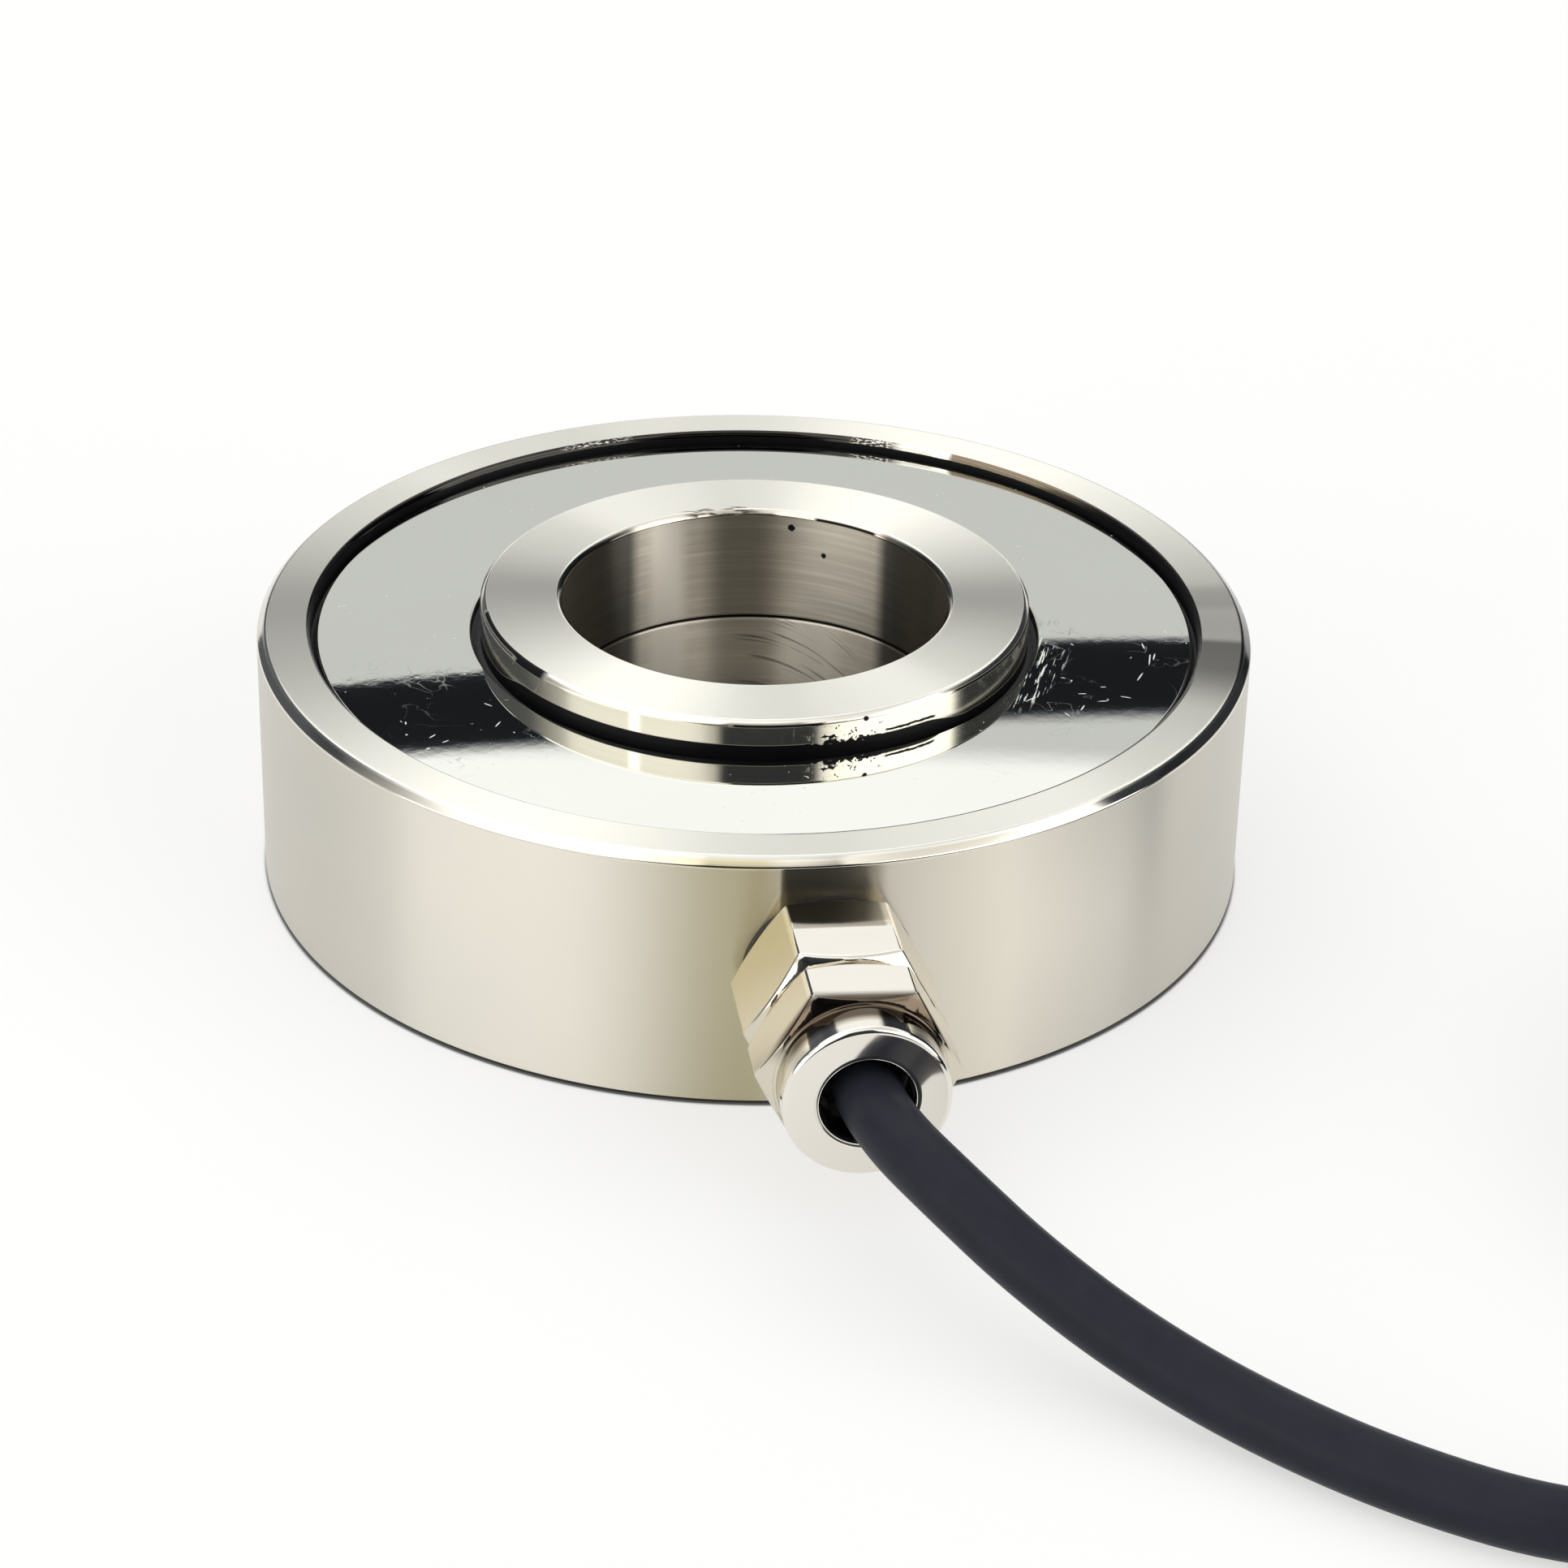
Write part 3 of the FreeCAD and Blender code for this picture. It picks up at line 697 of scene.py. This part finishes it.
def housing_steel():
    """Nickel on turned steel: satin rim, glossier wall, bright edges; sealant, painted shade and painted
    reflections.
    """
    material, shader, place = finish_material("housing_steel")
    radius, angle, height = around(place)
    x, y = place.parts()[:2]
    marks = turning_marks(place, 9.0, 1.6)
    cloud = place.noise(0.05, 3.0)
    top = height.rise(RIM_HEIGHT - 0.3, RIM_HEIGHT - 0.1)
    recess = 1 - radius.rise(RECESS_RADIUS + 0.25, RECESS_RADIUS + 0.35)
    recess = recess * height.rise(LEDGE_HEIGHT - 0.4, LEDGE_HEIGHT - 0.2)
    rim_edge = (radius + height).rise(RIM_EDGE - 0.25, RIM_EDGE - 0.1)
    edges = rim_edge + recess + 1 - height.rise(0.35, 0.5)

    # black up the recess, lower at the back: sealant, and painted shade of the narrow gap beside the plate
    black_top = 21.9 + 0.47 * (1 - angle.between(24, 150, 4)) + 0.14 * (place.noise(1.4, 3.0) - 0.5)
    blackened = recess * (1 - (height - black_top).rise(0.0, 0.06))

    # painted shade: a dark line on the recess's front edge, a contact shadow at the foot, and dark rim
    # edges at the back and the right
    painted_dark_lines = (1 - radius.rise(RECESS_RADIUS + 0.36, RECESS_RADIUS + 0.46)) * angle.between(-96, -25, 3)
    painted_dark_lines = painted_dark_lines + 1 - height.rise(0.34, 0.46)
    painted_dark_lines = painted_dark_lines + 0.4 * radius.rise(41.6, 41.7) * top * angle.between(8, 172, 6)
    painted_dark_lines = painted_dark_lines + rim_edge * angle.rise(-24, -17) * (1 - angle.rise(-17, 28))
    dark = blackened.larger(0.85 * painted_dark_lines)

    # painted dark reflection in the recess, left out in two places, with a brown tint in its gap
    dark_breaks = angle.between(62, 68, 1) + height.rise(22.1, 22.2) * angle.between(100, 109, 2)
    dark_breaks = dark_breaks * place.stretched(1.5, 1.5, 6).noise(1.6, 3.0).rise(0.52, 0.56)
    painted_dark_level = recess * (1 - angle.between(38, 61.7, 1.5)) * (1 - 0.7 * dark_breaks)
    recess_brown = recess * angle.rise(26, 38) * (1 - angle.rise(53.0, 54.0))

    # wall, warmer in front, with a painted reflection of the gland's plating beside the gland
    wall = angle.between(-118, -64, 14).blend(
        cloud.blend(WALL_COOL, WALL_PALE), cloud.blend(WALL_DARK, WALL_PALE))
    gland_reflection = angle.rise(-113, -99) * (1 - angle.rise(-98, -94))
    wall = gland_reflection.blend(wall, WALL_PAINTED_REFLECTION)

    # rim, with painted shade in fans at the right and at the back, standing in for the turned face's
    # reflections
    painted_fans = angle.rise(-33, -20) * (1 - angle.rise(-14.4, -12.6))
    painted_fans = painted_fans + 0.33 * angle.between(-4.5, 1.5, 1.5) + 0.28 * angle.between(100, 126, 8)
    face = painted_fans.blend(cloud.blend(FACE_DARK, FACE_PALE), FACE_PAINTED_SHADE)

    # painted dark reflection of the gland's body on the wall over it
    gland_dark_reflection = x.rise(-4.1, -3.8) * (1 - x.rise(2.6, 4.8)) * (1 - y.rise(-41.8, -41.0))
    gland_dark_reflection = gland_dark_reflection * height.rise(12.5, 14.0) * (1 - height.rise(21.6, 21.75))

    tint = (0.85 * gland_dark_reflection).blend(top.blend(wall, face), WALL_PAINTED_DARK_REFLECTION)
    tint = recess_brown.blend(painted_dark_level.blend(tint, RECESS_PAINTED_REFLECTION), RECESS_BROWN)
    set_shader(shader, Base_Color=dark.blend(tint, NEAR_BLACK), Metallic=1 - blackened,
               Roughness=0.28 + 0.05 * marks + 0.09 * top - 0.24 * edges + 0.3 * blackened,
               Specular_IOR_Level=0.1, Normal=place.bump(marks, 0.05, 0.00002), **TURNED_LOOK)
    return material


def joint_line(height):
    """1 along the seam in the bore."""
    return 1 - abs(height - JOINT_HEIGHT).rise(0.10, 0.20)


def bore_steel(place, angle, metal, bright, shade):
    """Brushed metal in the bore: streaks, painted shade on two sides, painted highlight bands and a share
    of painted shade at the back.
    """
    streaks = turning_marks(place, 2.4, 1.1).rise(0.45, 0.7)
    # the dark sides, the bright bands and the shade at the back are painted light and shade
    painted_dark_sides = 0.9 * (1 - angle.between(39.5, 121.5, 3)) * (1 - angle.between(-140, -40, 6))
    bare = painted_dark_sides.blend((0.6 * streaks).blend(metal, BARE_PALE_AND_HIGHLIGHT), BARE_PAINTED_DARK)
    bare = bright.blend(bare, BARE_PALE_AND_HIGHLIGHT)
    return (shade * angle.between(77, 95, 5)).blend(bare, BARE_SHADE)


def load_ring_steel():
    """Nickel on load face and outer wall, bare brushed steel in the bore; nicks, pits, painted highlights
    and shade.
    """
    material, shader, place = finish_material("load_ring_steel")
    radius, angle, height = around(place)
    marks = turning_marks(place, 9.0, 1.6)
    cloud = place.noise(0.05, 3.0)
    bore = 1 - radius.rise(BORE_RADIUS + 0.2, BORE_RADIUS + 0.45)
    wall = radius.rise(BOSS_RADIUS - 0.3, BOSS_RADIUS - 0.1)
    lip = 1 - (radius - height).rise(BORE_EDGE + 0.06, BORE_EDGE + 0.18)
    edges = (radius + height).rise(LOAD_EDGE - 0.2, LOAD_EDGE - 0.08) + lip

    # painted shade up the wall over the seal, raised raggedly at the front, with black specks above and a
    # black flap beside it
    ragged_stretch = angle.between(-87, -72, 2)
    ragged = place.noise(2.0, 4.0, 0.6) - 0.45
    painted_dark_level = 21.6 + 0.75 * angle.between(-158, -56, 6) + 1.8 * ragged_stretch * ragged
    blackened = wall * (1 - (height - painted_dark_level).rise(-0.05, 0.05))
    black_marks = place.noise(2.2, 2.0, 0.6) - 0.06 * (height - 22.1)
    black_marks = black_marks.rise(0.56, 0.58) * wall * ragged_stretch + spot(place, (5.88, -22.75, 24.0), 0.3)
    flap = (height + 0.4 * (place.noise(1.2, 3.0) - 0.5)).between(22.48, 22.72, 0.04)
    flap = flap * wall * angle.between(-71, -59, 0.5)

    # dark stretches along the outer chamfer, some on its lower half and some on its upper
    rim = (radius + height).rise(LOAD_EDGE - 0.18, LOAD_EDGE - 0.1)
    low = (angle.between(-103, -84, 1) + angle.between(-54, -8, 1.5)) * (1 - height.rise(24.14, 24.22))
    high = angle.between(-157, -146, 1.5) + angle.between(-178, -156, 1) * height.rise(24.26, 24.34)
    black_marks = black_marks + flap + rim * low + rim * high

    # smudge on the load face behind the bore, a nick in the bore's chamfer, and two pits below it
    smudge = place.stretched(0.35, 2.2, 2.2).noise(1.6, 3.0).rise(0.5, 0.6) * angle.between(82, 103, 3)
    smudge = smudge * (1 - radius.rise(17.2, 17.5)) * height.rise(24.0, 24.15)
    nicks = 0.85 * smudge + lip * angle.between(42, 63, 1) * (1 - height.rise(24.18, 24.26))
    pits = spot(place, (5.51, 15.55, 23.05), 0.42) + spot(place, (8.27, 14.27, 20.72), 0.28)
    black = (blackened + black_marks + nicks + pits + joint_line(height) * bore).smaller(1.0)

    plated = wall.blend(cloud.blend(FACE_DARK, FACE_PALE), cloud.blend(WALL_DARK, WALL_PALE))
    metal = marks.blend(LOAD_BORE_DARK, LOAD_BORE_PALE)
    # a painted highlight band at the back of the bore
    bare = bore_steel(place, angle, metal, angle.between(104, 116, 3), 0.5)
    roughness = 0.37 + 0.05 * marks - 0.27 * wall + 0.2 * black
    roughness = roughness - 0.03 * bore * (1 - edges) - 0.27 * edges * (1 - wall)
    set_shader(shader, Base_Color=black.blend(bore.blend(plated, bare), NEAR_BLACK), Metallic=1 - black,
               Roughness=roughness, Specular_IOR_Level=0.1,
               Normal=place.bump(marks - 2 * pits, 0.06, 0.00003), **TURNED_LOOK)
    return material


def element_steel():
    """Bare turned steel with painted shade towards the foot of the bore, painted highlights, and coarser
    tool grooves.
    """
    material, shader, place = finish_material("element_steel")
    radius, angle, height = around(place)
    marks = turning_marks(place, 5.0, 1.2)
    swept = height + 0.0022 * (angle - 92) ** 2.0
    groove = place.node("ShaderNodeCombineXYZ", {"X": angle * 0.03, "Y": swept * 2.6})
    groove = groove.noise(1.0, 3.0).rise(0.56, 0.66) * angle.between(48, 86, 4)
    metal = marks.blend(ELEMENT_DARK, ELEMENT_PALE)
    # painted highlight bands
    bright = angle.between(55, 74, 4) + angle.between(104, 116, 3)
    bare = bore_steel(place, angle, metal, bright, 0.25)
    # painted shade, darker towards the foot of the bore
    tint = height.rise(2.0, 10.0).blend(ELEMENT_PAINTED_SHADE, bare)
    dark = joint_line(height).larger(0.55 * groove)
    set_shader(shader, Base_Color=dark.blend(tint, ELEMENT_GROOVE), Metallic=1.0,
               Roughness=0.38 + 0.08 * marks, Normal=place.bump(marks - groove, 0.15, 0.00004),
               **TURNED_LOOK)
    return material


DASH_WIDTH = 0.16
# marks on the plate: middle x and y, direction, length
PLATE_MARKS = [
    (-29, -17, 45, 1.0), (-24, -12, -45, 1.1), (-29.5, -6.5, -40, 0.7), (-23.5, -15.5, 60, 1.3),
    (-31, -14.5, 90, 0.7), (-28, -18, 30, 0.8), (32.5, -7.5, 90, 1.4), (32.5, -10, 75, 2.7),
    (31, -13, 60, 2.1), (33, -9.5, 70, 1.5), (24.5, -12.5, -25, 0.5), (27.5, -14.5, 0, 0.7),
    (25.5, -15.5, -5, 0.9), (27, -17, 0, 1.2), (29, -16.5, -25, 1.2), (25, -18, 60, 1.3),
    (23.5, -19, -65, 0.9), (21, -16, 35, 1.7), (35, -5, -70, 0.8), (26.5, -6.5, -65, 0.5),
]


def dash(place, x, y, direction, length):
    """1 within a short dash on the plate."""
    near = place.node("ShaderNodeMapping", {
        "Vector": place, "Location": (x, y, COVER_TOP), "Rotation": (0, 0, math.radians(direction)),
        "Scale": (length / 2, DASH_WIDTH / 2, 1)}, vector_type="TEXTURE")
    away = place.node("ShaderNodeVectorMath", {0: near}, output="Value", operation="LENGTH")
    return 1 - (away + 0.5 * (place.noise(4.0, 2.0) - 0.5)).rise(0.4, 0.9)


def polished_cover():
    """Mirror-bright plate with specks, wiping marks and a scraped patch beside the boss; black edges,
    sealant and painted shade.
    """
    material, shader, place = finish_material("polished_cover")
    radius, angle, height = around(place)
    cloud = place.noise(0.06, 3.0)
    specks = place.noise(1.5, 2.0, 0.5, 0.6).rise(0.735, 0.76)
    for mark in PLATE_MARKS:
        specks = specks + dash(place, *mark)
    wiping = abs(place.noise(0.22, 2.0, 0.5, 1.2) - 0.5)
    wiping = (1 - wiping.rise(0.0, 0.012)) * place.noise(0.15, 2.0).rise(0.45, 0.6)
    along = place.node("ShaderNodeMapping", {
        "Vector": place, "Rotation": (0, 0, math.radians(69)), "Scale": (3.0, 0.22, 1.0)},
        vector_type="TEXTURE")
    scrape = along.noise(1.0, 3.0, 0.6).rise(0.57, 0.62)
    scrape = scrape * radius.between(COVER_INSIDE, COVER_INSIDE + 2.3, 1.0) * angle.between(-40, -7, 5)
    # black at both edges: sealant, and painted shade of the gaps beside them
    blackened = 1 - radius.rise(COVER_INSIDE + 0.04, COVER_INSIDE + 0.1)
    blackened = blackened + radius.rise(COVER_OUTSIDE - 0.08, COVER_OUTSIDE - 0.03)
    uneven = place.noise(0.9, 3.0) * (1 + 1.1 * angle.between(-178, -146, 6))
    roughness = 0.008 + 0.006 * cloud + 0.42 * specks + 0.035 * wiping + 0.34 * scrape + 0.3 * blackened
    set_shader(shader, Base_Color=blackened.blend(cloud.blend(COVER_DARK, COVER_PALE), NEAR_BLACK),
               Metallic=1 - blackened, Roughness=roughness, Normal=place.bump(uneven, 1.0, 0.00000025))
    return material


def plated_gland():
    """Polished nickel plating, with painted highlights on the top facets and the nut's collar and painted
    dark reflections.
    """
    material, shader, place = finish_material("plated_gland")
    x, y, z = place.parts()
    out = 0 - y
    cloud = place.noise(0.25, 3.0)
    # painted highlight on the top facets and the nut's collar
    bright = z.rise(18.8, 19.0).larger(out.rise(59.9, 60.2))
    tint = bright.blend(cloud.blend(PLATING_DARK, PLATING_PALE), PLATING_PAINTED_HIGHLIGHT)
    # painted dark reflection on the rear of the body's top facet
    foot = 0.55 * out.between(43.3, 47.3, 0.12) * z.rise(18.9, 19.1) * x.between(-3.7, 3.6, 0.2)
    tint = foot.blend(tint, BARE_PAINTED_DARK)
    # painted dark reflection across the top of the nut's cone
    cone_reflection = 0.95 * out.between(57.0, 59.6, 0.5) * z.rise(13.5, 16.5)
    set_shader(shader, Base_Color=cone_reflection.blend(tint, PLATING_PAINTED_REFLECTION), Metallic=1.0,
               Roughness=0.05 + 0.05 * cloud, Normal=place.bump(cloud, 0.05, 0.0002))
    return material


def black_seal():
    material, shader, place = finish_material("black_seal")
    grain = place.noise(6.0, 3.0)
    set_shader(shader, Base_Color=grain.blend(SEAL_DARK, SEAL_PALE),
               Roughness=0.45 + 0.25 * grain, Normal=place.bump(grain, 0.2, 0.00005))
    return material


def moulded(name, dark, light, roughness):
    """Plain moulded plastic, enamel or foil: a slightly uneven colour and a fine grain."""
    material, shader, place = finish_material(name)
    cloud = place.noise(0.8, 3.0)
    grain = place.noise(14.0, 2.0)
    set_shader(shader, Base_Color=cloud.blend(dark, light), Roughness=roughness + 0.1 * cloud,
               Normal=place.bump(grain, 0.1, 0.00004))
    return material


def tinned_copper():
    material, shader, place = finish_material("tinned_copper")
    cloud = place.noise(1.5, 3.0)
    set_shader(shader, Base_Color=cloud.blend(TIN_DARK, TIN_PALE), Metallic=1.0,
               Roughness=0.25 + 0.2 * cloud)
    return material


# Pieces

housing = turn_piece("housing_turned", [
    (LIP_RADIUS + FIT, 0),
    (RING_RADIUS - CHAMFER, 0),
    (RING_RADIUS, CHAMFER),
    (RING_RADIUS, RIM_HEIGHT - RIM_CHAMFER),
    (RING_RADIUS - RIM_CHAMFER, RIM_HEIGHT),
    (RECESS_RADIUS + RECESS_CHAMFER, RIM_HEIGHT),
    (RECESS_RADIUS, RIM_HEIGHT - RECESS_CHAMFER),
    (RECESS_RADIUS, LEDGE_HEIGHT),
    (CAVITY_RADIUS, LEDGE_HEIGHT),
    (CAVITY_RADIUS, FLANGE_HEIGHT),
    (FOOT_RADIUS + FIT, FLANGE_HEIGHT),
    (FOOT_RADIUS + FIT, LIP_HEIGHT),
    (LIP_RADIUS + FIT, LIP_HEIGHT)])
settle(housing, housing_steel(), "housing_steel", "housing_ring")

load_ring = turn_piece("load_ring_turned", [
    (BORE_RADIUS + JOINT_CHAMFER, JOINT_HEIGHT),
    (COLUMN_RADIUS + FIT, JOINT_HEIGHT),
    (COLUMN_RADIUS + FIT, SKIRT_HEIGHT),
    (BOSS_RADIUS, SKIRT_HEIGHT),
    (BOSS_RADIUS, LOAD_HEIGHT - CHAMFER),
    (BOSS_RADIUS - CHAMFER, LOAD_HEIGHT),
    (BORE_RADIUS + CHAMFER, LOAD_HEIGHT),
    (BORE_RADIUS, LOAD_HEIGHT - CHAMFER),
    (BORE_RADIUS, JOINT_HEIGHT + JOINT_CHAMFER)])
settle(load_ring, load_ring_steel(), "load_ring_steel", "load_ring")

element = turn_piece("element_turned", [
    (BORE_RADIUS + CHAMFER, 0),
    (LIP_RADIUS, 0),
    (LIP_RADIUS, LIP_HEIGHT),
    (FOOT_RADIUS, LIP_HEIGHT),
    (FOOT_RADIUS, FLANGE_HEIGHT),
    (COLUMN_RADIUS, FLANGE_HEIGHT),
    (COLUMN_RADIUS, JOINT_HEIGHT),
    (BORE_RADIUS + JOINT_CHAMFER, JOINT_HEIGHT),
    (BORE_RADIUS, JOINT_HEIGHT - JOINT_CHAMFER),
    (BORE_RADIUS, CHAMFER)], fillets=[((COLUMN_RADIUS, FLANGE_HEIGHT), COLUMN_FILLET)])
settle(element, element_steel(), "element_steel", "sensing_element")

cover = turn_piece("cover_polished", [
    (COVER_INSIDE, LEDGE_HEIGHT),
    (COVER_OUTSIDE, LEDGE_HEIGHT),
    (COVER_OUTSIDE, COVER_TOP - COVER_CHAMFER),
    (COVER_OUTSIDE - COVER_CHAMFER, COVER_TOP),
    (COVER_INSIDE + COVER_CHAMFER, COVER_TOP),
    (COVER_INSIDE, COVER_TOP - COVER_CHAMFER)], THIN_EDGE_BREAK)
settle(cover, polished_cover(), "polished_cover", "cover_plate")

seal_finish = black_seal()
rim_seal = seal_bead("rim_seal_bead", COVER_OUTSIDE, RECESS_RADIUS, 0.15)
settle(rim_seal, seal_finish, "black_seal", "rim_seal")
boss_seal = seal_bead("boss_seal_bead", BOSS_RADIUS, COVER_INSIDE, 0.2)
settle(boss_seal, seal_finish, "black_seal", "boss_seal")

gland_finish = plated_gland()
gland_body = hex_piece("gland_body_plated", [
    (PASSAGE_RADIUS, STEM_START),
    (STEM_RADIUS, STEM_START),
    (STEM_RADIUS, BODY_START),
    *hex_outline(BODY_START, BODY_END),
    (THREAD_RADIUS, BODY_END),
    (THREAD_RADIUS, THREAD_END),
    (SOCKET_RADIUS, THREAD_END),
    (SOCKET_RADIUS, SOCKET_FLOOR),
    (PASSAGE_RADIUS, SOCKET_FLOOR)], BODY_ROLL)
settle(gland_body, gland_finish, "plated_gland", "gland_body")
gland_nut = hex_piece("gland_nut_plated", [
    (THREAD_RADIUS + FIT, NUT_START),
    *hex_outline(NUT_START, NUT_END),
    (COLLAR_RADIUS, NUT_END),
    (COLLAR_RADIUS, NUT_FACE),
    (MOUTH_RADIUS + MOUTH_CHAMFER, NUT_FACE),
    (MOUTH_RADIUS, NUT_FACE - MOUTH_CHAMFER),
    (MOUTH_RADIUS, NUT_END),
    (THREAD_RADIUS + FIT, NUT_CONE)], NUT_ROLL, fillets=[((COLLAR_RADIUS, NUT_FACE), COLLAR_FILLET)])
settle(gland_nut, gland_finish, "plated_gland", "gland_nut")

dress(seal_finish, "gland_gasket", "gland_seal")
dress(moulded("claw_plastic", (0.55, 0.56, 0.55, 1), (0.68, 0.69, 0.68, 1), 0.4), "gland_claw")
dress(moulded("gauge_foil", (0.62, 0.36, 0.10, 1), (0.75, 0.48, 0.16, 1), 0.35),
      *(f"{kind}_gauge_{number}" for kind in ("axial", "hoop") for number in (1, 2, 3, 4)))
dress(moulded("board_green", (0.02, 0.12, 0.05, 1), (0.03, 0.18, 0.08, 1), 0.35), "bridge_board")
dress(moulded("resistor_black", (0.02, 0.02, 0.02, 1), (0.05, 0.05, 0.05, 1), 0.4), "trim_resistors")
dress(tinned_copper(), "gauge_wires", "shield_drain", "lead_tips")
dress(moulded("core_red", (0.42, 0.02, 0.015, 1), (0.55, 0.03, 0.02, 1), 0.35), "lead_red")
dress(moulded("core_black", (0.012, 0.012, 0.013, 1), (0.025, 0.025, 0.026, 1), 0.35), "lead_black")
dress(moulded("core_green", (0.01, 0.20, 0.05, 1), (0.02, 0.29, 0.08, 1), 0.35), "lead_green")
dress(moulded("core_white", (0.74, 0.74, 0.71, 1), (0.85, 0.85, 0.82, 1), 0.35),
      "lead_white", "inner_leads")

tie_finish = moulded("tie_nylon", (0.012, 0.012, 0.013, 1), (0.025, 0.025, 0.027, 1), 0.4)
first_tie = pull_tie("coil_tie_near_entry", -60, [
    (40.0, 0.8), (37.7, 15.8), (25.1, 21.2), (22.0, 15.0), (17.0, 0.8)], (38.6, 10.2), 81)
settle(first_tie, tie_finish, "tie", "coil_tie_1")
second_tie = pull_tie("coil_tie_far_side", 115, [
    (35.9, 0.8), (40.4, 9.0), (33.9, 16.7), (19.5, 16.7), (18.2, 8.3), (21.8, 0.8)], (27.0, 16.7), 0)
settle(second_tie, tie_finish, "tie", "coil_tie_2")
dress(cable.data.materials[0], "cable_inner")
